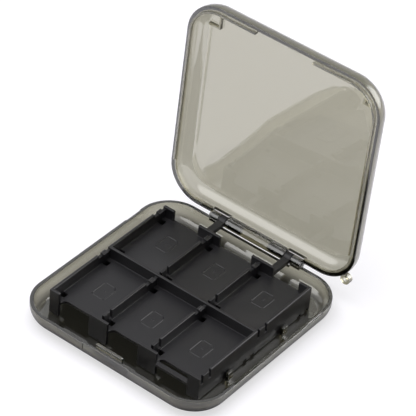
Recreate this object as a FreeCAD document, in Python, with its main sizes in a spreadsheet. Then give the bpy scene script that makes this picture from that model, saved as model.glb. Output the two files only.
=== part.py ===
import FreeCAD, Part
import Sketcher
import math
import os

# Card case: two clear shells and a double-sided card tray on one hinge axis.
# Millimetres: X along the hinge, Y from the front to the hinge side, Z up.
# The origin is the middle of the base shell's underside. The lid stands open.

COLUMNS = 3
ROWS = 2
DRIVING_SIZES = {
    # Card pockets, above and below the tray's floor
    "pocket_width": 21.9,
    "pocket_length": 31.95,
    "pocket_depth": 4.9,
    "tray_wall": 1.2,
    "tray_floor": 1.2,
    # Room around the tray inside the shells
    "side_well": 7.25,
    "front_well": 8.6,
    "rear_well": 10.3,
    "tray_seat_gap": 0.3,
    "head_room": 1.85,
    # Both shells
    "shell_wall": 1.5,
    "corner_radius": 14.5,
    "rim_straight": 1.6,
    "rim_gap": 0.15,
    # Hinge, counted outwards along X from the middle
    "hinge_setback": 0.7,
    "lid_open_angle": 93.0,
    "arm_inner": 14.2,
    "arm_width": 3.15,
    "arm_thickness": 1.8,
    "ear_width": 4.3,
    "side_gap": 0.25,
    "pin_radius": 1.0,
    "pin_clearance": 0.05,
    "pin_reach": 7.5,
    "pin_end_gap": 0.4,
    "pin_chamfer": 0.2,
    "knuckle_radius": 2.1,
    "knuckle_gap": 0.4,
    # Lap lip inside the lid's rim
    "lip_inset": 0.8,
    "lip_clearance": 0.2,
    "lip_thickness": 0.9,
    "lip_height": 1.2,
    "lip_root": 0.7,
    "lip_rear_gap": 15.5,
    # Front latch: tongue on the base, bead on the lid
    "latch_width": 12.0,
    "latch_gap": 0.8,
    "latch_thickness": 1.0,
    "latch_rise": 1.2,
    "latch_root": 3.4,
    "latch_seat": 0.4,
    "latch_bay_margin": 7.0,
    "bead_depth": 0.35,
    "bead_height": 0.4,
    "thumb_margin": 4.6,
    "thumb_depth": 0.4,
    # Rim notches on the base's two sides
    "rim_notch_length": 8.5,
    "rim_notch_size": 0.5,
    "rim_notch_place": 20.0,
    # Hold-down ribs under the lid's front corners, over the tray's corners
    "rib_length": 5.5,
    "rib_lap": 2.6,
    "rib_gap": 0.45,
    "rib_thickness": 0.8,
    # Strap eye on the lid's rear right corner
    "strap_radius": 2.1,
    "strap_hole_radius": 0.9,
    "strap_thickness": 2.2,
    "strap_lift": 0.2,
    "strap_reach": 1.9,
    # Tray's front lips on both sides of its walls, and the floor's front edge
    "front_lip_left": 4.2,
    "front_lip_right": 3.3,
    "front_relief": 2.0,
    "floor_setback": 3.5,
    "front_drop": 0.7,
    # Bar across the last column's front opening, to lift the tray by
    "lift_bar_depth": 2.0,
    "lift_bar_drop": 0.6,
    # Tray's rear posts and crossbars
    "corner_post": 5.2,
    "crossbar_inner": 7.6,
    "crossbar_margin": 0.65,
    # Spring fingers near the front of each pocket, cut free from the tray's long walls
    "finger_width": 3.2,
    "finger_drop": 0.3,
    "finger_slit": 1.2,
    "slit_foot": 1.0,
    "finger_hole_place": 2.9,
    "finger_hole_length": 2.5,
    # Nubs over the cards' rear corners, between notches in the wall's top
    "nub_length": 2.6,
    "nub_front_notch": 2.0,
    "nub_rear_notch": 1.85,
    "nub_notch_depth": 1.2,
    "nub_overhang": 0.8,
    "nub_height": 1.0,
    "nub_drop": 0.3,
    "nub_hole_width": 2.2,
    # Posts in the base that locate the tray's sides
    "post_length": 3.0,
    "post_thickness": 1.2,
    "post_height": 3.5,
    "post_gap": 0.3,
    "post_spread": 16.5,
    # Reach of every cut past the face that it leaves through
    "overrun": 1.0,
}
DERIVED_SIZES = {
    "tray_width": f"{COLUMNS} * pocket_width + {COLUMNS + 1} * tray_wall",
    "tray_length": f"{ROWS} * pocket_length + {ROWS + 1} * tray_wall",
    "tray_height": "2 * pocket_depth + tray_floor",
    "tray_shift": "(rear_well - front_well) / 2",
    "case_width": "tray_width + 2 * (side_well + shell_wall)",
    "case_length": "tray_length + front_well + rear_well + 2 * shell_wall",
    "shell_depth": "(tray_height + tray_seat_gap + head_room - rim_gap) / 2 + shell_wall",
    "belly_radius": "shell_depth - rim_straight",
}

doc = FreeCAD.newDocument("card_case")
sheet = doc.addObject("Spreadsheet::Sheet", "Sizes")
contents = {alias: str(value) for alias, value in DRIVING_SIZES.items()}
contents.update({alias: f"={formula}" for alias, formula in DERIVED_SIZES.items()})
for line, (alias, content) in enumerate(contents.items(), start=1):
    sheet.set(f"A{line}", alias)
    sheet.setAlias(f"B{line}", alias)
    sheet.set(f"B{line}", content)
doc.recompute()


def cell(alias):
    """Expression that reads one size from the sheet."""
    return f"Sizes.{alias}"


def minus(expression):
    return f"(-({expression}))"


# Places that several pieces share, as expressions
OVER = cell("overrun")
RIM = cell("shell_depth")
LID_RIM = f"({RIM} + Sizes.rim_gap)"
LID_TOP = f"({LID_RIM} + Sizes.shell_depth)"
HALF_WIDTH = "(Sizes.case_width / 2)"
HALF_LENGTH = "(Sizes.case_length / 2)"
INNER_FRONT = f"(Sizes.shell_wall - {HALF_LENGTH})"
INNER_REAR = f"({HALF_LENGTH} - Sizes.shell_wall)"
HINGE_Y = f"({HALF_LENGTH} + Sizes.hinge_setback)"
HINGE_Z = f"({RIM} + Sizes.rim_gap / 2)"
ARM_OUTER = "(Sizes.arm_inner + Sizes.arm_width)"
BARREL_END = "(Sizes.arm_inner - Sizes.side_gap)"
EAR_INNER = f"({ARM_OUTER} + Sizes.side_gap)"
EAR_OUTER = f"({EAR_INNER} + Sizes.ear_width)"
NOTCH_DEPTH = "(Sizes.knuckle_radius + Sizes.knuckle_gap)"
PIN_BORE = "(Sizes.pin_radius + Sizes.pin_clearance)"
LATCH_X = ("-Sizes.latch_width / 2", "Sizes.latch_width / 2")
TONGUE_FRONT = f"({INNER_FRONT} + Sizes.latch_gap)"
TONGUE_REAR = f"({TONGUE_FRONT} + Sizes.latch_thickness)"
TONGUE_TOP = f"({RIM} + Sizes.latch_rise)"
TRAY_BOTTOM = "(Sizes.shell_wall + Sizes.tray_seat_gap)"
TRAY_TOP = f"({TRAY_BOTTOM} + Sizes.tray_height)"
TRAY_LEFT = "(-Sizes.tray_width / 2)"
TRAY_RIGHT = "(Sizes.tray_width / 2)"
TRAY_FRONT = "(-Sizes.tray_length / 2 - Sizes.tray_shift)"
TRAY_REAR = "(Sizes.tray_length / 2 - Sizes.tray_shift)"
FLOOR_LOW = f"({TRAY_BOTTOM} + Sizes.pocket_depth)"
FLOOR_HIGH = f"({FLOOR_LOW} + Sizes.tray_floor)"
FLOOR_FRONT = f"({TRAY_FRONT} + Sizes.floor_setback)"
UPPER = (FLOOR_HIGH, f"{TRAY_TOP} + {OVER}")
LOWER = (f"{TRAY_BOTTOM} - {OVER}", FLOOR_LOW)
STOREYS = (("upper", UPPER), ("lower", LOWER))
UPPER_SLIT = (f"{FLOOR_HIGH} + Sizes.slit_foot", UPPER[1])
LOWER_SLIT = (LOWER[0], f"{FLOOR_LOW} - Sizes.slit_foot")
THROUGH_FLOOR = (f"{FLOOR_LOW} - {OVER}", f"{FLOOR_HIGH} + {OVER}")


def both_sides(low, high):
    """The (low, high) pair on the right of the middle, and its mirror image on the left."""
    return (("right", (low, high)), ("left", (minus(high), minus(low))))


def past(span):
    """A (low, high) pair, lengthened by the overrun at both ends."""
    return f"{span[0]} - {OVER}", f"{span[1]} + {OVER}"


def place(solid, *corner):
    for axis, expression in zip("xyz", corner):
        solid.setExpression(f"Placement.Base.{axis}", expression)
    return solid


def size_block(solid, x, y, z):
    """Binds a block to three (low, high) pairs of expressions."""
    for size, (low, high) in zip(("Length", "Width", "Height"), (x, y, z)):
        solid.setExpression(size, f"({high}) - ({low})")
    return place(solid, x[0], y[0], z[0])


def size_rod(solid, x, y, z, radius):
    """Binds a cylinder along X to a (low, high) pair in X and its axis."""
    turned = FreeCAD.Rotation(FreeCAD.Vector(0, 1, 0), 90)
    solid.Placement = FreeCAD.Placement(FreeCAD.Vector(), turned)
    solid.setExpression("Radius", radius)
    solid.setExpression("Height", f"({x[1]}) - ({x[0]})")
    return place(solid, x[0], y, z)


def size_upright(solid, x, y, z, radius):
    """Binds an upright cylinder to its axis and a (low, high) pair in Z."""
    solid.setExpression("Radius", radius)
    solid.setExpression("Height", f"({z[1]}) - ({z[0]})")
    return place(solid, x, y, z[0])


def new_body(label):
    body = doc.addObject("PartDesign::Body", label)
    body.Label = label
    return body


def add_box(body, name, *spans):
    return size_block(body.newObject("PartDesign::AdditiveBox", name), *spans)


def cut_box(body, name, *spans):
    return size_block(body.newObject("PartDesign::SubtractiveBox", name), *spans)


def add_rod(body, name, *sizes):
    return size_rod(body.newObject("PartDesign::AdditiveCylinder", name), *sizes)


def cut_rod(body, name, *sizes):
    return size_rod(body.newObject("PartDesign::SubtractiveCylinder", name), *sizes)


def free_block(name, *spans):
    return size_block(doc.addObject("Part::Box", name), *spans)


def free_rod(name, *sizes):
    return size_rod(doc.addObject("Part::Cylinder", name), *sizes)


def fused(name, solids):
    union = doc.addObject("Part::MultiFuse", name)
    union.Shapes = solids
    return union


def cut_away(name, base, tool):
    difference = doc.addObject("Part::Cut", name)
    difference.Base = base
    difference.Tool = tool
    return difference


def level_sketch(body, name, height):
    """Sketch on its body's XY plane, raised by an expression."""
    sketch = body.newObject("Sketcher::SketchObject", name)
    planes = [feature for feature in body.Origin.OriginFeatures if feature.Role == "XY_Plane"]
    sketch.AttachmentSupport = [(planes[0], "")]
    sketch.MapMode = "FlatFace"
    sketch.setExpression("AttachmentOffset.Base.z", height)
    return sketch


def bind(sketch, name, constraint, expression):
    """Adds a named dimension to a sketch and ties it to an expression."""
    index = sketch.addConstraint(constraint)
    sketch.renameConstraint(index, name)
    sketch.setExpression(f"Constraints.{name}", expression)


def rim_outline(sketch, tag, *insets):
    """The case's rounded outline, moved inwards by the sum of some sizes."""
    inset = sum(sheet.get(alias) for alias in insets)
    inset_expression = " + ".join(["0"] + [cell(alias) for alias in insets])
    half_x = sheet.get("case_width") / 2 - inset
    half_y = sheet.get("case_length") / 2 - inset
    radius = sheet.get("corner_radius") - inset
    flat_x = half_x - radius
    flat_y = half_y - radius
    sides = (
        ((-flat_x, -half_y), (flat_x, -half_y), (flat_x, -flat_y), -90),
        ((half_x, -flat_y), (half_x, flat_y), (flat_x, flat_y), 0),
        ((flat_x, half_y), (-flat_x, half_y), (-flat_x, flat_y), 90),
        ((-half_x, flat_y), (-half_x, -flat_y), (-flat_x, -flat_y), 180),
    )
    first = sketch.GeometryCount
    for start, end, centre, angle in sides:
        sketch.addGeometry(Part.LineSegment(FreeCAD.Vector(*start, 0), FreeCAD.Vector(*end, 0)))
        circle = Part.Circle(FreeCAD.Vector(*centre, 0), FreeCAD.Vector(0, 0, 1), radius)
        turn = math.radians(angle)
        sketch.addGeometry(Part.ArcOfCircle(circle, turn, turn + math.pi / 2))
    lines = [first + 2 * side for side in range(len(sides))]
    arcs = [line + 1 for line in lines]
    for side, (line, arc) in enumerate(zip(lines, arcs)):
        next_line = lines[(side + 1) % len(lines)]
        sketch.addConstraint(Sketcher.Constraint("Tangent", line, 2, arc, 1))
        sketch.addConstraint(Sketcher.Constraint("Tangent", arc, 2, next_line, 1))
        direction = "Horizontal" if side % 2 == 0 else "Vertical"
        sketch.addConstraint(Sketcher.Constraint(direction, line))
    for arc in arcs[1:]:
        sketch.addConstraint(Sketcher.Constraint("Equal", arcs[0], arc))
    sketch.addConstraint(Sketcher.Constraint("Symmetric", lines[0], 1, lines[2], 1, -1, 1))
    wide = Sketcher.Constraint("DistanceX", lines[3], 1, lines[1], 1, 2 * half_x)
    bind(sketch, f"{tag}_width", wide, f"Sizes.case_width - 2 * ({inset_expression})")
    long = Sketcher.Constraint("DistanceY", lines[0], 1, lines[2], 1, 2 * half_y)
    bind(sketch, f"{tag}_length", long, f"Sizes.case_length - 2 * ({inset_expression})")
    corner = Sketcher.Constraint("Radius", arcs[0], radius)
    bind(sketch, f"{tag}_radius", corner, f"Sizes.corner_radius - ({inset_expression})")


def pad(body, name, sketch, length):
    feature = body.newObject("PartDesign::Pad", name)
    feature.Profile = sketch
    feature.setExpression("Length", length)
    return feature


def numbered(kind, shapes, test):
    """Names such as Edge3 of the shapes that pass a test."""
    return [f"{kind}{number}" for number, shape in enumerate(shapes, start=1) if test(shape)]


def shell(body, tag, low, open_above):
    """Rounded square dish with a full belly, open on one side."""
    outline = level_sketch(body, f"{tag}_outline", low)
    rim_outline(outline, "outer")
    block = pad(body, f"{tag}_block", outline, cell("shell_depth"))
    doc.recompute()
    bounds = block.Shape.BoundBox
    closed_z, open_z = (bounds.ZMin, bounds.ZMax) if open_above else (bounds.ZMax, bounds.ZMin)
    near = sheet.get("rim_gap")

    def lies_at(height):
        def test(shape):
            box = shape.BoundBox
            return max(abs(box.ZMin - height), abs(box.ZMax - height)) < near

        return test

    belly = body.newObject("PartDesign::Fillet", f"{tag}_belly")
    belly.Base = (block, numbered("Edge", block.Shape.Edges, lies_at(closed_z)))
    belly.setExpression("Radius", cell("belly_radius"))
    doc.recompute()
    hollow = body.newObject("PartDesign::Thickness", f"{tag}_hollow")
    hollow.Base = (belly, numbered("Face", belly.Shape.Faces, lies_at(open_z)))
    hollow.setExpression("Value", cell("shell_wall"))
    hollow.Reversed = True
    doc.recompute()


def base_shell():
    body = new_body("base_shell")
    shell(body, "base", "0", open_above=True)

    # Rear wall lowered between the ears, for the tray's arms and the lid's barrel
    rear_wall = past((INNER_REAR, HALF_LENGTH))
    above_notch = (f"{RIM} - {NOTCH_DEPTH}", f"{RIM} + {OVER}")
    cut_box(body, "rear_notch", (minus(EAR_INNER), EAR_INNER), rear_wall, above_notch)
    for side, span in both_sides(EAR_INNER, EAR_OUTER):
        add_rod(body, f"ear_{side}", span, HINGE_Y, HINGE_Z, cell("knuckle_radius"))
        cut_rod(body, f"ear_bore_{side}", past(span), HINGE_Y, HINGE_Z, PIN_BORE)

    # Latch tongue on a web inside the front wall, with a bead along its top
    web_y = (f"{INNER_FRONT} - Sizes.shell_wall / 2", TONGUE_REAR)
    web_low = f"{RIM} - Sizes.latch_root"
    add_box(body, "latch_web", LATCH_X, web_y, (web_low, f"{RIM} - Sizes.latch_seat"))
    add_box(body, "latch_tongue", LATCH_X, (TONGUE_FRONT, TONGUE_REAR), (web_low, TONGUE_TOP))
    bead_y = (f"{TONGUE_FRONT} - Sizes.bead_depth", TONGUE_REAR)
    add_box(body, "latch_bead", LATCH_X, bead_y, (f"{TONGUE_TOP} - Sizes.bead_height", TONGUE_TOP))
    thumb_x = (f"{LATCH_X[0]} - Sizes.thumb_margin", f"{LATCH_X[1]} + Sizes.thumb_margin")
    thumb_y = (f"-{HALF_LENGTH} - {OVER}", f"Sizes.thumb_depth - {HALF_LENGTH}")
    cut_box(body, "thumb_recess", thumb_x, thumb_y, past(("0", RIM)))

    notch_y = (cell("rim_notch_place"), "Sizes.rim_notch_place + Sizes.rim_notch_length")
    notch_z = (f"{RIM} - Sizes.rim_notch_size", f"{RIM} + {OVER}")
    for side, span in both_sides(f"{HALF_WIDTH} - Sizes.rim_notch_size", f"{HALF_WIDTH} + {OVER}"):
        cut_box(body, f"rim_notch_{side}", span, notch_y, notch_z)

    # Posts that stand beside the tray's side walls
    post_low = f"{TRAY_RIGHT} + Sizes.post_gap"
    post_z = ("Sizes.shell_wall / 2", "Sizes.shell_wall + Sizes.post_height")
    for side, span in both_sides(post_low, f"{post_low} + Sizes.post_thickness"):
        for end, sign in (("front", "-"), ("rear", "")):
            middle = f"{sign}Sizes.post_spread - Sizes.tray_shift"
            post_y = (f"{middle} - Sizes.post_length / 2", f"{middle} + Sizes.post_length / 2")
            add_box(body, f"post_{end}_{side}", span, post_y, post_z)
    return body


def lid_shell():
    """Modelled closed, then turned open about the hinge axis."""
    body = new_body("lid_shell")
    shell(body, "lid", LID_RIM, open_above=False)

    # Lap lip: a root ring on the wall and a thinner ring that reaches into the base
    root = level_sketch(body, "lip_root_outline", LID_RIM)
    rim_outline(root, "root_outer", "lip_inset")
    rim_outline(root, "root_inner", "shell_wall", "lip_clearance", "lip_thickness")
    pad(body, "lip_root_ring", root, cell("lip_root"))
    lip_low = f"{LID_RIM} - Sizes.lip_height"
    lip = level_sketch(body, "lip_outline", lip_low)
    rim_outline(lip, "lip_outer", "shell_wall", "lip_clearance")
    rim_outline(lip, "lip_inner", "shell_wall", "lip_clearance", "lip_thickness")
    pad(body, "lip_ring", lip, "Sizes.lip_height + Sizes.lip_root")
    doc.recompute()
    bay_x = (f"{LATCH_X[0]} - Sizes.latch_bay_margin", f"{LATCH_X[1]} + Sizes.latch_bay_margin")
    bay_z = (f"{lip_low} - {OVER}", f"{LID_RIM} + Sizes.lip_root")
    cut_box(body, "latch_bay", bay_x, (INNER_FRONT, "0"), bay_z)
    inside_x = (f"Sizes.shell_wall - {HALF_WIDTH}", f"{HALF_WIDTH} - Sizes.shell_wall")
    rear_y = (f"{HALF_LENGTH} - Sizes.lip_rear_gap", INNER_REAR)
    cut_box(body, "lip_end", inside_x, rear_y, (f"{lip_low} - {OVER}", LID_RIM))

    # Hinge barrel on the rear edge, between bays for the tray's arms and the base's ears
    lip_inner = f"{INNER_REAR} - Sizes.lip_clearance - Sizes.lip_thickness"
    hinge_y = past((lip_inner, HALF_LENGTH))
    hinge_z = (f"{LID_RIM} - {OVER}", f"{HINGE_Z} + {NOTCH_DEPTH}")
    for side, span in both_sides(BARREL_END, f"{EAR_OUTER} + Sizes.side_gap"):
        cut_box(body, f"hinge_bay_{side}", span, hinge_y, hinge_z)
    barrel_x = (minus(BARREL_END), BARREL_END)
    add_rod(body, "barrel", barrel_x, HINGE_Y, HINGE_Z, cell("knuckle_radius"))
    blind_end = f"{BARREL_END} - Sizes.pin_reach - Sizes.pin_end_gap"
    for side, span in both_sides(blind_end, f"{BARREL_END} + {OVER}"):
        cut_rod(body, f"barrel_bore_{side}", span, HINGE_Y, HINGE_Z, PIN_BORE)

    # Catch bead that passes under the tongue's bead when the lid is shut
    catch_y = (f"{INNER_FRONT} - Sizes.shell_wall / 2", f"{INNER_FRONT} + Sizes.bead_depth")
    add_box(body, "catch_bead", LATCH_X, catch_y, (LID_RIM, f"{LID_RIM} + Sizes.bead_height"))

    # Angled ribs that hold the tray's front corners down
    rib_y = f"{TRAY_FRONT} + Sizes.rib_lap"
    along_y = (f"{rib_y} - Sizes.rib_length", rib_y)
    across_y = (f"{rib_y} - Sizes.rib_thickness", rib_y)
    rib_x = f"{TRAY_RIGHT} - Sizes.rib_lap"
    rib_z = (f"{TRAY_TOP} + Sizes.rib_gap", f"{LID_TOP} - Sizes.shell_wall / 2")
    for side, span in both_sides(rib_x, f"{rib_x} + Sizes.rib_thickness"):
        add_box(body, f"hold_down_along_{side}", span, along_y, rib_z)
    for side, span in both_sides(rib_x, f"{rib_x} + Sizes.rib_length"):
        add_box(body, f"hold_down_across_{side}", span, across_y, rib_z)

    # Strap eye on the rear right corner's diagonal
    reach = "(Sizes.corner_radius + Sizes.strap_reach) * cos(45 deg) - Sizes.corner_radius"
    eye_x = f"{HALF_WIDTH} + {reach}"
    eye_y = f"{HALF_LENGTH} + {reach}"
    eye_low = f"{LID_RIM} + Sizes.strap_lift"
    eye_z = (eye_low, f"{eye_low} + Sizes.strap_thickness")
    eye = body.newObject("PartDesign::AdditiveCylinder", "strap_eye")
    size_upright(eye, eye_x, eye_y, eye_z, cell("strap_radius"))
    hole = body.newObject("PartDesign::SubtractiveCylinder", "strap_hole")
    size_upright(hole, eye_x, eye_y, past(eye_z), cell("strap_hole_radius"))

    axis_point = f"vector(0; {HINGE_Y}; {HINGE_Z})"
    opening = "rotation(vector(1; 0; 0); -Sizes.lid_open_angle)"
    body.setExpression("Placement", f"placement(vector(0; 0; 0); {opening}; {axis_point})")
    return body


def column_wall(index):
    """The (low, high) pair of one long wall of the tray, counted from the left."""
    low = f"{TRAY_LEFT} + {index} * (Sizes.pocket_width + Sizes.tray_wall)"
    return low, f"{low} + Sizes.tray_wall"


def row_wall(index):
    """The (low, high) pair of one wall across the tray, counted from the front."""
    low = f"{TRAY_FRONT} + {index} * (Sizes.pocket_length + Sizes.tray_wall)"
    return low, f"{low} + Sizes.tray_wall"


def front_gap(column):
    """The (low, high) pair between the two front lips of a column."""
    low = f"{column_wall(column)[1]} + Sizes.front_lip_right"
    return low, f"{column_wall(column + 1)[0]} - Sizes.front_lip_left"


def pocket_cuts():
    """Hollows of every pocket, and the front openings between the lips, where the floor ends early."""
    cuts = []
    open_y = (f"{TRAY_FRONT} - {OVER}", FLOOR_FRONT)
    open_z = (LOWER[0], UPPER[1])
    for column in range(COLUMNS):
        pocket_x = (column_wall(column)[1], column_wall(column + 1)[0])
        for row in range(ROWS):
            pocket_y = (row_wall(row)[1], row_wall(row + 1)[0])
            for storey, height in STOREYS:
                cuts.append(free_block(f"pocket_{storey}_{row}_{column}", pocket_x, pocket_y, height))
        cuts.append(free_block(f"front_opening_{column}", front_gap(column), open_y, open_z))
    return cuts


def end_cuts():
    """Gaps between the rear wall's posts and crossbars, and the lower tops of all front lips but one."""
    cuts = []
    rear_y = (row_wall(ROWS)[0], f"{TRAY_REAR} + {OVER}")
    crossbar_outer = f"{ARM_OUTER} + Sizes.crossbar_margin"
    gaps = both_sides(crossbar_outer, f"{TRAY_RIGHT} - Sizes.corner_post")
    middle = ("middle", (minus(cell("crossbar_inner")), cell("crossbar_inner")))
    for side, span in (*gaps, middle):
        for storey, height in STOREYS:
            cuts.append(free_block(f"rear_gap_{storey}_{side}", span, rear_y, height))
    drop_x = (front_gap(0)[0], f"{TRAY_RIGHT} + {OVER}")
    drop_y = (f"{TRAY_FRONT} - {OVER}", row_wall(0)[1])
    drop_z = (f"{TRAY_TOP} - Sizes.front_drop", UPPER[1])
    cuts.append(free_block("front_drop", drop_x, drop_y, drop_z))
    return cuts


def finger_cuts():
    """Slits beside each pocket's spring finger, the finger's lower top, and a hole in the floor."""
    cuts = []
    top = (f"{TRAY_TOP} - Sizes.finger_drop", UPPER[1])
    for row in range(ROWS):
        front = row_wall(row)[1]
        low = f"{front} + Sizes.finger_slit"
        high = f"{low} + Sizes.finger_width"
        slits = (("front", (front, low)), ("rear", (high, f"{high} + Sizes.finger_slit")))
        hole_front = f"{front} + Sizes.finger_hole_place"
        hole_y = (hole_front, f"{hole_front} + Sizes.finger_hole_length")
        for column in range(COLUMNS):
            left = column_wall(column)
            right = column_wall(column + 1)
            tag = f"{row}_{column}"
            for end, slit in slits:
                cuts.append(free_block(f"slit_upper_{tag}_{end}", past(right), slit, UPPER_SLIT))
                cuts.append(free_block(f"slit_lower_{tag}_{end}", past(left), slit, LOWER_SLIT))
            cuts.append(free_block(f"finger_top_{tag}", past(right), (low, high), top))
            hole_x = (left[1], f"{left[1]} + Sizes.nub_hole_width")
            cuts.append(free_block(f"finger_hole_{tag}", hole_x, hole_y, THROUGH_FLOOR))
    return cuts


def nub_span(row):
    """The (low, high) pair of a row's nubs along the tray."""
    rear = f"{row_wall(row + 1)[0]} - Sizes.nub_rear_notch"
    return f"{rear} - Sizes.nub_length", rear


def nub_cuts():
    """Notches before and behind each nub in the wall that carries it, and the floor holes beside the nubs."""
    cuts = []
    upper_z = (f"{TRAY_TOP} - Sizes.nub_notch_depth", UPPER[1])
    lower_z = (LOWER[0], f"{TRAY_BOTTOM} + Sizes.nub_notch_depth")
    for row in range(ROWS):
        nub_y = nub_span(row)
        front = (f"{nub_y[0]} - Sizes.nub_front_notch", nub_y[0])
        rear = (nub_y[1], row_wall(row + 1)[0])
        for column in range(COLUMNS):
            left = column_wall(column)
            right = column_wall(column + 1)
            for end, notch in (("front", front), ("rear", rear)):
                tag = f"{row}_{column}_{end}"
                cuts.append(free_block(f"nub_notch_upper_{tag}", past(left), notch, upper_z))
                cuts.append(free_block(f"nub_notch_lower_{tag}", past(right), notch, lower_z))
            left_hole = (left[1], f"{left[1]} + Sizes.nub_hole_width")
            right_hole = (f"{right[0]} - Sizes.nub_hole_width", right[0])
            cuts.append(free_block(f"hole_left_{row}_{column}", left_hole, nub_y, THROUGH_FLOOR))
            cuts.append(free_block(f"hole_right_{row}_{column}", right_hole, nub_y, THROUGH_FLOOR))
    return cuts


def nubs():
    """Nubs over a card's rear corner: upper ones on the left wall, lower ones on the right wall."""
    blocks = []
    upper_top = f"{TRAY_TOP} - Sizes.nub_drop"
    upper_z = (f"{upper_top} - Sizes.nub_height", upper_top)
    lower_low = f"{TRAY_BOTTOM} + Sizes.nub_drop"
    lower_z = (lower_low, f"{lower_low} + Sizes.nub_height")
    for row in range(ROWS):
        for column in range(COLUMNS):
            left = column_wall(column)[1]
            right = column_wall(column + 1)[0]
            upper_x = (f"{left} - Sizes.tray_wall / 2", f"{left} + Sizes.nub_overhang")
            lower_x = (f"{right} - Sizes.nub_overhang", f"{right} + Sizes.tray_wall / 2")
            blocks.append(free_block(f"nub_upper_{row}_{column}", upper_x, nub_span(row), upper_z))
            blocks.append(free_block(f"nub_lower_{row}_{column}", lower_x, nub_span(row), lower_z))
    return blocks


def front_reliefs():
    """Concave fillets where each front lip's stretch of floor meets the floor's front edge."""
    reliefs = []
    for column in range(COLUMNS):
        side = front_gap(column)[0]
        scoop_x = f"{side} + Sizes.front_relief"
        scoop_y = f"{FLOOR_FRONT} - Sizes.front_relief"
        floor_z = (FLOOR_LOW, FLOOR_HIGH)
        corner = free_block(f"relief_corner_{column}", (side, scoop_x), (scoop_y, FLOOR_FRONT), floor_z)
        scoop = doc.addObject("Part::Cylinder", f"relief_scoop_{column}")
        size_upright(scoop, scoop_x, scoop_y, past(floor_z), cell("front_relief"))
        reliefs.append(cut_away(f"relief_{column}", corner, scoop))
    return reliefs


def lift_bars():
    """Angled bar between the last column's front lips: a front web, and a ledge level with the floor."""
    low, high = front_gap(COLUMNS - 1)
    bar_x = (f"{low} - Sizes.tray_wall / 2", f"{high} + Sizes.tray_wall / 2")
    top = f"{FLOOR_HIGH} - Sizes.lift_bar_drop"
    ledge_y = (TRAY_FRONT, f"{TRAY_FRONT} + Sizes.lift_bar_depth")
    web_z = (f"{FLOOR_LOW} - Sizes.lift_bar_drop", top)
    return [
        free_block("lift_bar_ledge", bar_x, ledge_y, (FLOOR_LOW, top)),
        free_block("lift_bar_web", bar_x, row_wall(0), web_z),
    ]


def hinge_arms():
    """Arms from the rear crossbars to the hinge axis, and the bores that grip the pins."""
    arms = []
    bores = []
    arm_y = (f"{TRAY_REAR} - Sizes.tray_wall", HINGE_Y)
    arm_z = (f"{HINGE_Z} - Sizes.arm_thickness / 2", f"{HINGE_Z} + Sizes.arm_thickness / 2")
    for side, span in both_sides(cell("arm_inner"), ARM_OUTER):
        arms.append(free_block(f"arm_{side}", span, arm_y, arm_z))
        arms.append(free_rod(f"arm_eye_{side}", span, HINGE_Y, HINGE_Z, cell("knuckle_radius")))
        bores.append(free_rod(f"arm_bore_{side}", past(span), HINGE_Y, HINGE_Z, cell("pin_radius")))
    return arms, bores


def card_tray():
    outline = ((TRAY_LEFT, TRAY_RIGHT), (TRAY_FRONT, TRAY_REAR), (TRAY_BOTTOM, TRAY_TOP))
    cuts = fused("tray_cuts", pocket_cuts() + end_cuts() + finger_cuts() + nub_cuts())
    grid = cut_away("tray_grid", free_block("tray_block", *outline), cuts)
    arms, bores = hinge_arms()
    moulding = fused("tray_moulding", [grid] + lift_bars() + nubs() + front_reliefs() + arms)
    return cut_away("card_tray", moulding, fused("tray_bores", bores))


def hinge_pin(side, span):
    body = new_body(f"{side}_hinge_pin")
    shank = add_rod(body, f"{side}_pin_shank", span, HINGE_Y, HINGE_Z, cell("pin_radius"))
    doc.recompute()
    narrow = sheet.get("pin_chamfer")
    ends = numbered("Edge", shank.Shape.Edges, lambda edge: edge.BoundBox.XLength < narrow)
    chamfer = body.newObject("PartDesign::Chamfer", f"{side}_pin_ends")
    chamfer.Base = (shank, ends)
    chamfer.setExpression("Size", cell("pin_chamfer"))
    return body


pieces = [base_shell(), lid_shell(), card_tray()]
for pin_side, pin_span in both_sides(f"{BARREL_END} - Sizes.pin_reach", EAR_OUTER):
    pieces.append(hinge_pin(pin_side, pin_span))
doc.recompute()

for feature in doc.Objects:
    if "Invalid" in feature.State or "Error" in feature.State:
        raise RuntimeError(f"{feature.Name}: {feature.State}")
for piece in pieces:
    if piece.Shape.isNull() or not piece.Shape.isValid() or len(piece.Shape.Solids) != 1:
        raise RuntimeError(f"{piece.Label} is not one sound solid")

os.makedirs("parts", exist_ok=True)
for piece in pieces:
    piece.Shape.exportStep(f"parts/{piece.Label}.step")
    print(piece.Label, round(piece.Shape.Volume), "cubic mm")
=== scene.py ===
import math

import bmesh
import bpy
from mathutils import Matrix, Vector


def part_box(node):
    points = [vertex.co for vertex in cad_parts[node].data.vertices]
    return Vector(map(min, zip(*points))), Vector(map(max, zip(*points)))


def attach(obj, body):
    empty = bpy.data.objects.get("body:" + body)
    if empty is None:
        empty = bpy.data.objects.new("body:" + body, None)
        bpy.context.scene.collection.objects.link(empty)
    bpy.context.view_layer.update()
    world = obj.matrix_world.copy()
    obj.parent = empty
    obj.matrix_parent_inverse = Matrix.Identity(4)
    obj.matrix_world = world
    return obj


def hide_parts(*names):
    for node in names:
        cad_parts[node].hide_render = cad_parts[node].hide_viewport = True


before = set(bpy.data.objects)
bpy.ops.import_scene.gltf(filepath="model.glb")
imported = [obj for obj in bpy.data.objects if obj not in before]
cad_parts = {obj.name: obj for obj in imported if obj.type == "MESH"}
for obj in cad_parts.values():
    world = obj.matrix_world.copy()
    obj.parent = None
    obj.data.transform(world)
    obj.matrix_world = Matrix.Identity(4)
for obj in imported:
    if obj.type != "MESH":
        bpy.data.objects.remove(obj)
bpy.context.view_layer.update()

MM = 0.001

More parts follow.
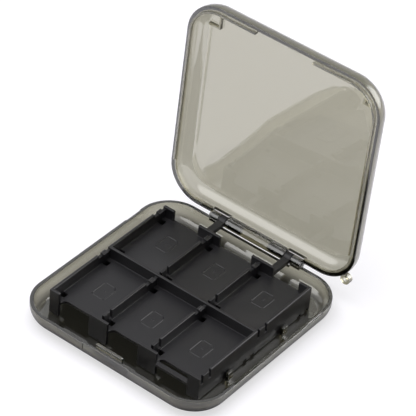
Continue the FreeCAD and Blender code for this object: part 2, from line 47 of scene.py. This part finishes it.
# Camera, as the photograph shows the open case
CAMERA_PLACE = Vector((392.088, -553.901, 602.951)) * MM
CAMERA_AZIMUTH = math.radians(34.762)
CAMERA_ELEVATION = math.radians(39.105)
CAMERA_ROLL = math.radians(5.573)
CAMERA_NEAR = 0.01
CAMERA_FAR = 20
IMAGE_WIDTH = 416
FOCAL_PIXELS = 2427.8
SENSOR_WIDTH = 36.0

# Smoke-grey clear plastic, with faint smudges and satin outer walls
SMOKE_SURFACE = (0.98, 0.98, 0.97, 1.0)
SMOKE_IOR = 1.59
SMOKE_COAT_IOR = 1.75
SMOKE_TINT = (0.515, 0.495, 0.37, 1.0)
SMOKE_DENSITY = 1000.0
SMUDGE_SCALE = 60.0
SMUDGE_DETAIL = 4.0
SMUDGE_ROUGHNESS = 0.03
SATIN_ROUGHNESS = 0.35

# Black satin plastic of the tray and the pins: colour, then least and most roughness
TRAY_BLACK = (0.015, 0.0145, 0.0165)
TRAY_ROUGHNESS = (0.33, 0.43)
PIN_BLACK = (0.008, 0.008, 0.0085)
PIN_ROUGHNESS = (0.2, 0.35)
CLOUD_SCALE = 220.0
CLOUD_DETAIL = 5.0
GRAIN_SCALE = 5200.0
GRAIN_DETAIL = 2.0
GRAIN_STRENGTH = 0.12
GRAIN_DEPTH = 0.03 * MM

# Card marks on the tray's upper pocket floors
TRAY_WALL = 1.2 * MM
TRAY_FLOOR = 1.2 * MM
MARK_COLUMNS = (-1, 0, 1)
MARK_ROWS = (17.1 * MM, 54.0 * MM)
MARK_WIDTH = 6.6 * MM
MARK_LENGTH = 8.9 * MM
MARK_CORNER = 1.3 * MM
MARK_CLIP = 1.6 * MM
MARK_LINE = 0.7 * MM
MARK_HEIGHT = 0.2 * MM
MARK_SUNK = 0.1 * MM
MARK_SLOPE = 0.33 * MM
MARK_DOT = 0.6 * MM
MARK_ARC_STEPS = 6
MARK_DOT_STEPS = 16

# Fullness of the hinge pins in their bores
PIN_FILL = 0.06 * MM

# Hinge line, the lid's angle at rest, and levels whose edges have a rounding of their own
HINGE = Vector((0, 45.4, 8.075)) * MM
HINGE_TO_RIM = 0.075 * MM
LID_OPEN = math.radians(93)
BASE_RIM = 8.0 * MM
LATCH_TOP = 9.2 * MM
TRAY_TOP = 12.8 * MM
LEVEL_SLACK = 0.01 * MM

# Satin walls: how far a face may lean, how far inside the outline it may lie, and the barrels' reach
WALL_LEAN = 0.97
WALL_DEPTH = 6.0 * MM
BARREL_REACH = 2.6 * MM

# Rounded edges
EDGE_RADIUS = 0.12 * MM
RIM_RADIUS = 0.22 * MM
TRAY_EDGE_RADIUS = 0.16 * MM
WALL_TOP_RADIUS = 0.42 * MM
PIN_EDGE_RADIUS = 0.05 * MM
LARGEST_RADIUS = 0.45 * MM
EDGE_ANGLE = math.radians(30)
EDGE_SEGMENTS = 2
WELD_DISTANCE = 0.001 * MM

# Floor, and how its glow grows with the length of the ray that shows it, through plastic or not: a
# painted shadow, in which the floor glows less for rays that reach it only a short way from the case
FLOOR_HALF = 4.0
FLOOR_DROP = 0.05 * MM
FLOOR_COLOUR = (0.42, 0.41, 0.45, 1.0)
PAINTED_SHADOW_GLOW = 0.03
GLOW_FAR = 0.65
PAINTED_SHADOW_START = 0.1 * MM
PAINTED_SHADOW_REACH = 30.0 * MM
PAINTED_SHADOW_REACH_THROUGH = 8.0 * MM

# Surroundings: brightness below and above the heights where it changes, and the light they give
SKY_LOW_HEIGHT = 0.3
SKY_HIGH_HEIGHT = 0.7
SKY_LOW = 1.0
SKY_HIGH = 0.85
SKY_LIGHTING = 0.2

# Broad lights in front on the left and behind on the right: direction as a unit vector, and strength
PANEL_LIGHTS = (((-0.443, -0.637, 0.631), 2.6), ((0.63, 0.637, 0.442), 5.0))
PANEL_EDGE = 0.8
PANEL_FULL = 0.95

# Lamp overhead
LAMP_PLACE = Vector((-0.3, 0.15, 2.0))
LAMP_TARGET = Vector((0, 0, 0))
LAMP_SIZE = (2.6, 2.2)
LAMP_WATTS = 54.0

# A count of bounces below this is none
NO_BOUNCE = 0.5


def new_material(name):
    """An empty node material and its tree."""
    material = bpy.data.materials.new(name)
    material.use_nodes = True
    material.node_tree.nodes.clear()
    return material, material.node_tree


def add_node(tree, kind, inputs=None, **values):
    """A node with the given settings, and with values on the named or numbered inputs."""
    node = tree.nodes.new(kind)
    for key, value in values.items():
        setattr(node, key, value)
    for key, value in (inputs or {}).items():
        node.inputs[key].default_value = value
    return node


def smoke_plastic():
    """Clear grey plastic with faint smudges, rougher on the faces that are marked as satin."""
    material, tree = new_material("smoke_clear")
    out = add_node(tree, "ShaderNodeOutputMaterial")
    finish = {
        "Base Color": SMOKE_SURFACE,
        "Transmission Weight": 1.0,
        "IOR": SMOKE_IOR,
        "Coat Weight": 1.0,
        "Coat IOR": SMOKE_COAT_IOR,
        "Coat Roughness": 0.0,
    }
    surface = add_node(tree, "ShaderNodeBsdfPrincipled", finish)
    coords = add_node(tree, "ShaderNodeTexCoord")
    smudge = add_node(tree, "ShaderNodeTexNoise", {"Scale": SMUDGE_SCALE, "Detail": SMUDGE_DETAIL})
    rough = add_node(tree, "ShaderNodeMapRange", {"To Max": SMUDGE_ROUGHNESS})
    satin = add_node(tree, "ShaderNodeAttribute", attribute_name="satin")
    total = add_node(tree, "ShaderNodeMath", {1: SATIN_ROUGHNESS}, operation="MULTIPLY_ADD")
    absorb = add_node(tree, "ShaderNodeVolumeAbsorption", {"Color": SMOKE_TINT, "Density": SMOKE_DENSITY})
    tree.links.new(coords.outputs["Object"], smudge.inputs["Vector"])
    tree.links.new(smudge.outputs["Fac"], rough.inputs["Value"])
    tree.links.new(satin.outputs["Fac"], total.inputs[0])
    tree.links.new(rough.outputs["Result"], total.inputs[2])
    tree.links.new(total.outputs[0], surface.inputs["Roughness"])
    tree.links.new(surface.outputs["BSDF"], out.inputs["Surface"])
    tree.links.new(absorb.outputs["Volume"], out.inputs["Volume"])
    return material


def satin_black(name, colour, roughness):
    """Black plastic with clouded roughness and a fine moulded grain."""
    material, tree = new_material(name)
    low, high = roughness
    out = add_node(tree, "ShaderNodeOutputMaterial")
    surface = add_node(tree, "ShaderNodeBsdfPrincipled", {"Base Color": (*colour, 1.0)})
    coords = add_node(tree, "ShaderNodeTexCoord")
    cloud = add_node(tree, "ShaderNodeTexNoise", {"Scale": CLOUD_SCALE, "Detail": CLOUD_DETAIL})
    rough = add_node(tree, "ShaderNodeMapRange", {"To Min": low, "To Max": high})
    grain = add_node(tree, "ShaderNodeTexNoise", {"Scale": GRAIN_SCALE, "Detail": GRAIN_DETAIL})
    bump = add_node(tree, "ShaderNodeBump", {"Strength": GRAIN_STRENGTH, "Distance": GRAIN_DEPTH})
    for texture in (cloud, grain):
        tree.links.new(coords.outputs["Object"], texture.inputs["Vector"])
    tree.links.new(cloud.outputs["Fac"], rough.inputs["Value"])
    tree.links.new(rough.outputs["Result"], surface.inputs["Roughness"])
    tree.links.new(grain.outputs["Fac"], bump.inputs["Height"])
    tree.links.new(bump.outputs["Normal"], surface.inputs["Normal"])
    tree.links.new(surface.outputs["BSDF"], out.inputs["Surface"])
    return material


def satin_walls(work, axis):
    """Marks as satin the outer side walls of a dish that opens along the axis, not its hinge barrels."""
    layer = work.faces.layers.float.new("satin")
    points = [vertex.co for vertex in work.verts]
    for face in work.faces:
        centre = face.calc_center_median()
        from_hinge = centre - HINGE
        from_hinge.x = 0
        if abs(face.normal.dot(axis)) < WALL_LEAN and from_hinge.length > BARREL_REACH:
            beyond = max(face.normal.dot(point) for point in points)
            if beyond - face.normal.dot(centre) < WALL_DEPTH:
                face[layer] = 1.0


def edge_weights(work, axis, rounded, edge_radius):
    """Bevel weights: a radius of its own for the edges at each named level, and one for the rest."""
    layer = work.edges.layers.float.new("bevel_weight_edge")
    for edge in work.edges:
        if len(edge.link_faces) == 2 and edge.calc_face_angle() > EDGE_ANGLE:
            radius = edge_radius
            for level, level_radius in rounded:
                if max(abs(vertex.co.dot(axis) - level) for vertex in edge.verts) < LEVEL_SLACK:
                    radius = level_radius
            edge[layer] = radius / LARGEST_RADIUS


def moulding(node, name, body, material, edge_radius, axis=None, rounded=(), satin=False):
    """A CAD node's surface as a clean mesh with rounded edges, standing for the node."""
    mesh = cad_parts[node].data.copy()
    mesh.name = name
    mesh.materials.clear()
    mesh.materials.append(material)
    work = bmesh.new()
    work.from_mesh(mesh)
    bmesh.ops.remove_doubles(work, verts=work.verts, dist=WELD_DISTANCE)
    for face in work.faces:
        face.smooth = True
    if satin:
        satin_walls(work, axis)
    if rounded:
        edge_weights(work, axis, rounded, edge_radius)
    work.to_mesh(mesh)
    work.free()
    mesh.set_sharp_from_angle(angle=EDGE_ANGLE)
    piece = bpy.data.objects.new(name, mesh)
    bpy.context.scene.collection.objects.link(piece)
    bevel = piece.modifiers.new("rounded_edges", "BEVEL")
    bevel.width = LARGEST_RADIUS if rounded else edge_radius
    bevel.segments = EDGE_SEGMENTS
    bevel.limit_method = "WEIGHT" if rounded else "ANGLE"
    bevel.angle_limit = EDGE_ANGLE
    bevel.use_clamp_overlap = False
    bevel.loop_slide = False
    bevel.harden_normals = True
    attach(piece, body)
    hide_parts(node)
    return piece


def fill_bores(pin, extra):
    """Makes a pin a little thicker about its own axis, so that no film of air shows round it."""
    corners = [Vector(corner) for corner in pin.bound_box]
    centre = sum(corners, Vector()) / len(corners)
    radius = pin.dimensions.z / 2
    scale = 1 + extra / radius
    for vertex in pin.data.vertices:
        vertex.co.y = centre.y + (vertex.co.y - centre.y) * scale
        vertex.co.z = centre.z + (vertex.co.z - centre.z) * scale


def card_outline(inset):
    """Points of a card mark's outline, rounded at three corners and clipped at one, moved inwards."""
    half_x = MARK_WIDTH / 2 - inset
    half_y = MARK_LENGTH / 2 - inset
    radius = MARK_CORNER - inset
    clip = MARK_CLIP - inset * (2 - math.sqrt(2))
    points = [(half_x - clip, half_y), (half_x, half_y - clip)]
    for sign_x, sign_y, start in ((1, -1, 0), (-1, -1, -90), (-1, 1, -180)):
        centre = (sign_x * (half_x - radius), sign_y * (half_y - radius))
        for step in range(MARK_ARC_STEPS + 1):
            turn = math.radians(start - 90 * step / MARK_ARC_STEPS)
            points.append((centre[0] + radius * math.cos(turn), centre[1] + radius * math.sin(turn)))
    return points


def dot_outline(inset):
    """Points of a dot mark's outline, moved inwards."""
    radius = MARK_DOT - inset
    turns = [-2 * math.pi * step / MARK_DOT_STEPS for step in range(MARK_DOT_STEPS)]
    return [(radius * math.cos(turn), radius * math.sin(turn)) for turn in turns]


def add_rings(work, place, rings, closed):
    """Joins outlines at given heights into a solid: a closed tube, or a plug with a flat top and foot."""
    loops = []
    for points, height in rings:
        loops.append([work.verts.new(place + Vector((x, y, height))) for x, y in points])
    pairs = list(zip(loops, loops[1:]))
    if closed:
        pairs.append((loops[-1], loops[0]))
    else:
        work.faces.new(reversed(loops[0]))
        work.faces.new(loops[-1])
    for low, high in pairs:
        for index in range(len(low)):
            after = (index + 1) % len(low)
            work.faces.new((low[index], low[after], high[after], high[index]))


def pocket_marks(material):
    """Low raised outline of a card with a dot, on each upper pocket's floor."""
    low, high = (Vector(corner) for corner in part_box("card_tray"))
    pitch = (high.x - low.x - TRAY_WALL) / len(MARK_COLUMNS)
    floor = (low.z + high.z) / 2 + TRAY_FLOOR / 2
    tube = [
        (card_outline(0), -MARK_SUNK),
        (card_outline(MARK_SLOPE), MARK_HEIGHT),
        (card_outline(MARK_LINE - MARK_SLOPE), MARK_HEIGHT),
        (card_outline(MARK_LINE), -MARK_SUNK),
    ]
    dot = [(dot_outline(0), -MARK_SUNK), (dot_outline(MARK_SLOPE), MARK_HEIGHT)]
    work = bmesh.new()
    for column in MARK_COLUMNS:
        for row in MARK_ROWS:
            place = Vector((column * pitch, low.y + row, floor))
            add_rings(work, place, tube, closed=True)
            add_rings(work, place, dot, closed=False)
    bmesh.ops.recalc_face_normals(work, faces=work.faces)
    mesh = bpy.data.meshes.new("pocket_marks")
    work.to_mesh(mesh)
    work.free()
    mesh.materials.append(material)
    piece = bpy.data.objects.new("pocket_marks", mesh)
    bpy.context.scene.collection.objects.link(piece)
    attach(piece, "tray")


def make_camera():
    """The photograph's camera, turned by azimuth, elevation and roll."""
    a, e, r = CAMERA_AZIMUTH, CAMERA_ELEVATION, CAMERA_ROLL
    back = Vector((math.sin(a) * math.cos(e), -math.cos(a) * math.cos(e), math.sin(e)))
    level = Vector((math.cos(a), math.sin(a), 0))
    upright = back.cross(level)
    right = level * math.cos(r) + upright * math.sin(r)
    up = upright * math.cos(r) - level * math.sin(r)
    camera = bpy.data.cameras.new("camera")
    camera.sensor_width = SENSOR_WIDTH
    camera.lens = FOCAL_PIXELS / IMAGE_WIDTH * SENSOR_WIDTH
    camera.clip_start = CAMERA_NEAR
    camera.clip_end = CAMERA_FAR
    holder = bpy.data.objects.new("camera", camera)
    turn = Matrix((right, up, back)).transposed()
    holder.matrix_world = Matrix.Translation(CAMERA_PLACE) @ turn.to_4x4()
    bpy.context.scene.collection.objects.link(holder)
    bpy.context.scene.camera = holder


def seen_directly(tree):
    """1 for rays that show a surface as it is, straight, mirrored or through clear plastic."""
    path = add_node(tree, "ShaderNodeLightPath")
    first = add_node(tree, "ShaderNodeMath", operation="MAXIMUM")
    both = add_node(tree, "ShaderNodeMath", operation="MAXIMUM")
    unscattered = add_node(tree, "ShaderNodeMath", {1: NO_BOUNCE}, operation="LESS_THAN")
    seen = add_node(tree, "ShaderNodeMath", operation="MULTIPLY")
    tree.links.new(path.outputs["Is Camera Ray"], first.inputs[0])
    tree.links.new(path.outputs["Is Glossy Ray"], first.inputs[1])
    tree.links.new(first.outputs[0], both.inputs[0])
    tree.links.new(path.outputs["Is Transmission Ray"], both.inputs[1])
    tree.links.new(path.outputs["Diffuse Depth"], unscattered.inputs[0])
    tree.links.new(both.outputs[0], seen.inputs[0])
    tree.links.new(unscattered.outputs[0], seen.inputs[1])
    return seen.outputs[0]


def floor_material():
    """Pale, and white to rays that show it, with a painted shadow close under and near the case: the glow
    fades for rays that reach it a short way from a surface above.
    """
    material, tree = new_material("floor")
    out = add_node(tree, "ShaderNodeOutputMaterial")
    diffuse = add_node(tree, "ShaderNodeBsdfDiffuse", {"Color": FLOOR_COLOUR})
    path = add_node(tree, "ShaderNodeLightPath")
    # Painted shadow: the glow fades for short rays, over a longer reach for direct and mirrored rays than
    # for rays through plastic
    painted_shadow_reach = add_node(tree, "ShaderNodeMapRange", {"To Min": PAINTED_SHADOW_REACH, "To Max": PAINTED_SHADOW_REACH_THROUGH})
    painted_shadow_range = {"From Min": PAINTED_SHADOW_START, "To Min": PAINTED_SHADOW_GLOW, "To Max": GLOW_FAR}
    painted_shadow_fade = add_node(tree, "ShaderNodeMapRange", painted_shadow_range, interpolation_type="SMOOTHSTEP")
    strength = add_node(tree, "ShaderNodeMath", operation="MULTIPLY")
    glow = add_node(tree, "ShaderNodeEmission")
    total = add_node(tree, "ShaderNodeAddShader")
    tree.links.new(path.outputs["Is Transmission Ray"], painted_shadow_reach.inputs["Value"])
    tree.links.new(painted_shadow_reach.outputs["Result"], painted_shadow_fade.inputs["From Max"])
    tree.links.new(path.outputs["Ray Length"], painted_shadow_fade.inputs["Value"])
    tree.links.new(seen_directly(tree), strength.inputs[0])
    tree.links.new(painted_shadow_fade.outputs["Result"], strength.inputs[1])
    tree.links.new(strength.outputs[0], glow.inputs["Strength"])
    tree.links.new(diffuse.outputs[0], total.inputs[0])
    tree.links.new(glow.outputs[0], total.inputs[1])
    tree.links.new(total.outputs[0], out.inputs["Surface"])
    return material


def make_floor():
    """A plain square floor, just under the case."""
    mesh = bpy.data.meshes.new("floor")
    corners = [(x * FLOOR_HALF, y * FLOOR_HALF, 0) for x, y in ((-1, -1), (1, -1), (1, 1), (-1, 1))]
    mesh.from_pydata(corners, [], [(0, 1, 2, 3)])
    mesh.materials.append(floor_material())
    floor = bpy.data.objects.new("floor", mesh)
    floor.location.z = -FLOOR_DROP
    bpy.context.scene.collection.objects.link(floor)


def make_world():
    """Even light all round, which rays that show it see as a soft sky with two broad lights."""
    world = bpy.data.worlds.new("world")
    world.use_nodes = True
    tree = world.node_tree
    tree.nodes.clear()
    out = add_node(tree, "ShaderNodeOutputWorld")
    sky = add_node(tree, "ShaderNodeBackground")
    coords = add_node(tree, "ShaderNodeTexCoord")
    axes = add_node(tree, "ShaderNodeSeparateXYZ")
    change = {
        "From Min": SKY_LOW_HEIGHT,
        "From Max": SKY_HIGH_HEIGHT,
        "To Min": SKY_LOW,
        "To Max": SKY_HIGH,
    }
    height = add_node(tree, "ShaderNodeMapRange", change, interpolation_type="SMOOTHSTEP")
    brightest = height.outputs["Result"]
    for direction, strength in PANEL_LIGHTS:
        facing = add_node(tree, "ShaderNodeVectorMath", {1: direction}, operation="DOT_PRODUCT")
        fade = {"From Min": PANEL_EDGE, "From Max": PANEL_FULL, "To Max": strength}
        panel = add_node(tree, "ShaderNodeMapRange", fade, interpolation_type="SMOOTHSTEP")
        brighter = add_node(tree, "ShaderNodeMath", operation="MAXIMUM")
        tree.links.new(coords.outputs["Generated"], facing.inputs[0])
        tree.links.new(facing.outputs["Value"], panel.inputs["Value"])
        tree.links.new(brightest, brighter.inputs[0])
        tree.links.new(panel.outputs["Result"], brighter.inputs[1])
        brightest = brighter.outputs[0]
    level = add_node(tree, "ShaderNodeMapRange", {"To Min": SKY_LIGHTING})
    tree.links.new(coords.outputs["Generated"], axes.inputs["Vector"])
    tree.links.new(axes.outputs["Z"], height.inputs["Value"])
    tree.links.new(brightest, level.inputs["To Max"])
    tree.links.new(seen_directly(tree), level.inputs["Value"])
    tree.links.new(level.outputs[0], sky.inputs["Strength"])
    tree.links.new(sky.outputs[0], out.inputs["Surface"])
    bpy.context.scene.world = world


def make_lamp():
    """A wide soft lamp overhead, which shows neither in reflections nor through clear plastic."""
    lamp = bpy.data.lights.new("overhead", "AREA")
    lamp.shape = "RECTANGLE"
    lamp.size, lamp.size_y = LAMP_SIZE
    lamp.energy = LAMP_WATTS
    holder = bpy.data.objects.new("overhead", lamp)
    holder.location = LAMP_PLACE
    holder.rotation_mode = "QUATERNION"
    holder.rotation_quaternion = (LAMP_TARGET - LAMP_PLACE).to_track_quat("-Z", "Y")
    holder.visible_transmission = False
    holder.visible_glossy = False
    bpy.context.scene.collection.objects.link(holder)


def dress_case():
    """Every piece of the case, with its finish and rounded edges."""
    smoke = smoke_plastic()
    tray_black = satin_black("black_tray", TRAY_BLACK, TRAY_ROUGHNESS)
    pin_black = satin_black("black_pin", PIN_BLACK, PIN_ROUGHNESS)
    base_axis = Vector((0, 0, 1))
    lid_axis = Vector((0, math.sin(LID_OPEN), math.cos(LID_OPEN)))
    base_rounds = ((BASE_RIM, RIM_RADIUS), (LATCH_TOP, LARGEST_RADIUS))
    lid_rounds = ((HINGE.dot(lid_axis) + HINGE_TO_RIM, RIM_RADIUS),)
    tray_rounds = ((TRAY_TOP, WALL_TOP_RADIUS),)
    moulding(
        "base_shell", "base_dish", "base", smoke,
        EDGE_RADIUS, base_axis, base_rounds, satin=True,
    )
    moulding(
        "lid_shell", "lid_dish", "lid", smoke,
        EDGE_RADIUS, lid_axis, lid_rounds, satin=True,
    )
    moulding(
        "card_tray", "tray_moulding", "tray", tray_black,
        TRAY_EDGE_RADIUS, base_axis, tray_rounds,
    )
    for side in ("left", "right"):
        pin = moulding(f"{side}_hinge_pin", f"{side}_pin", "tray", pin_black, PIN_EDGE_RADIUS)
        fill_bores(pin, PIN_FILL)
    pocket_marks(tray_black)


dress_case()
make_camera()
make_floor()
make_world()
make_lamp()
bpy.context.scene.view_settings.view_transform = "Standard"
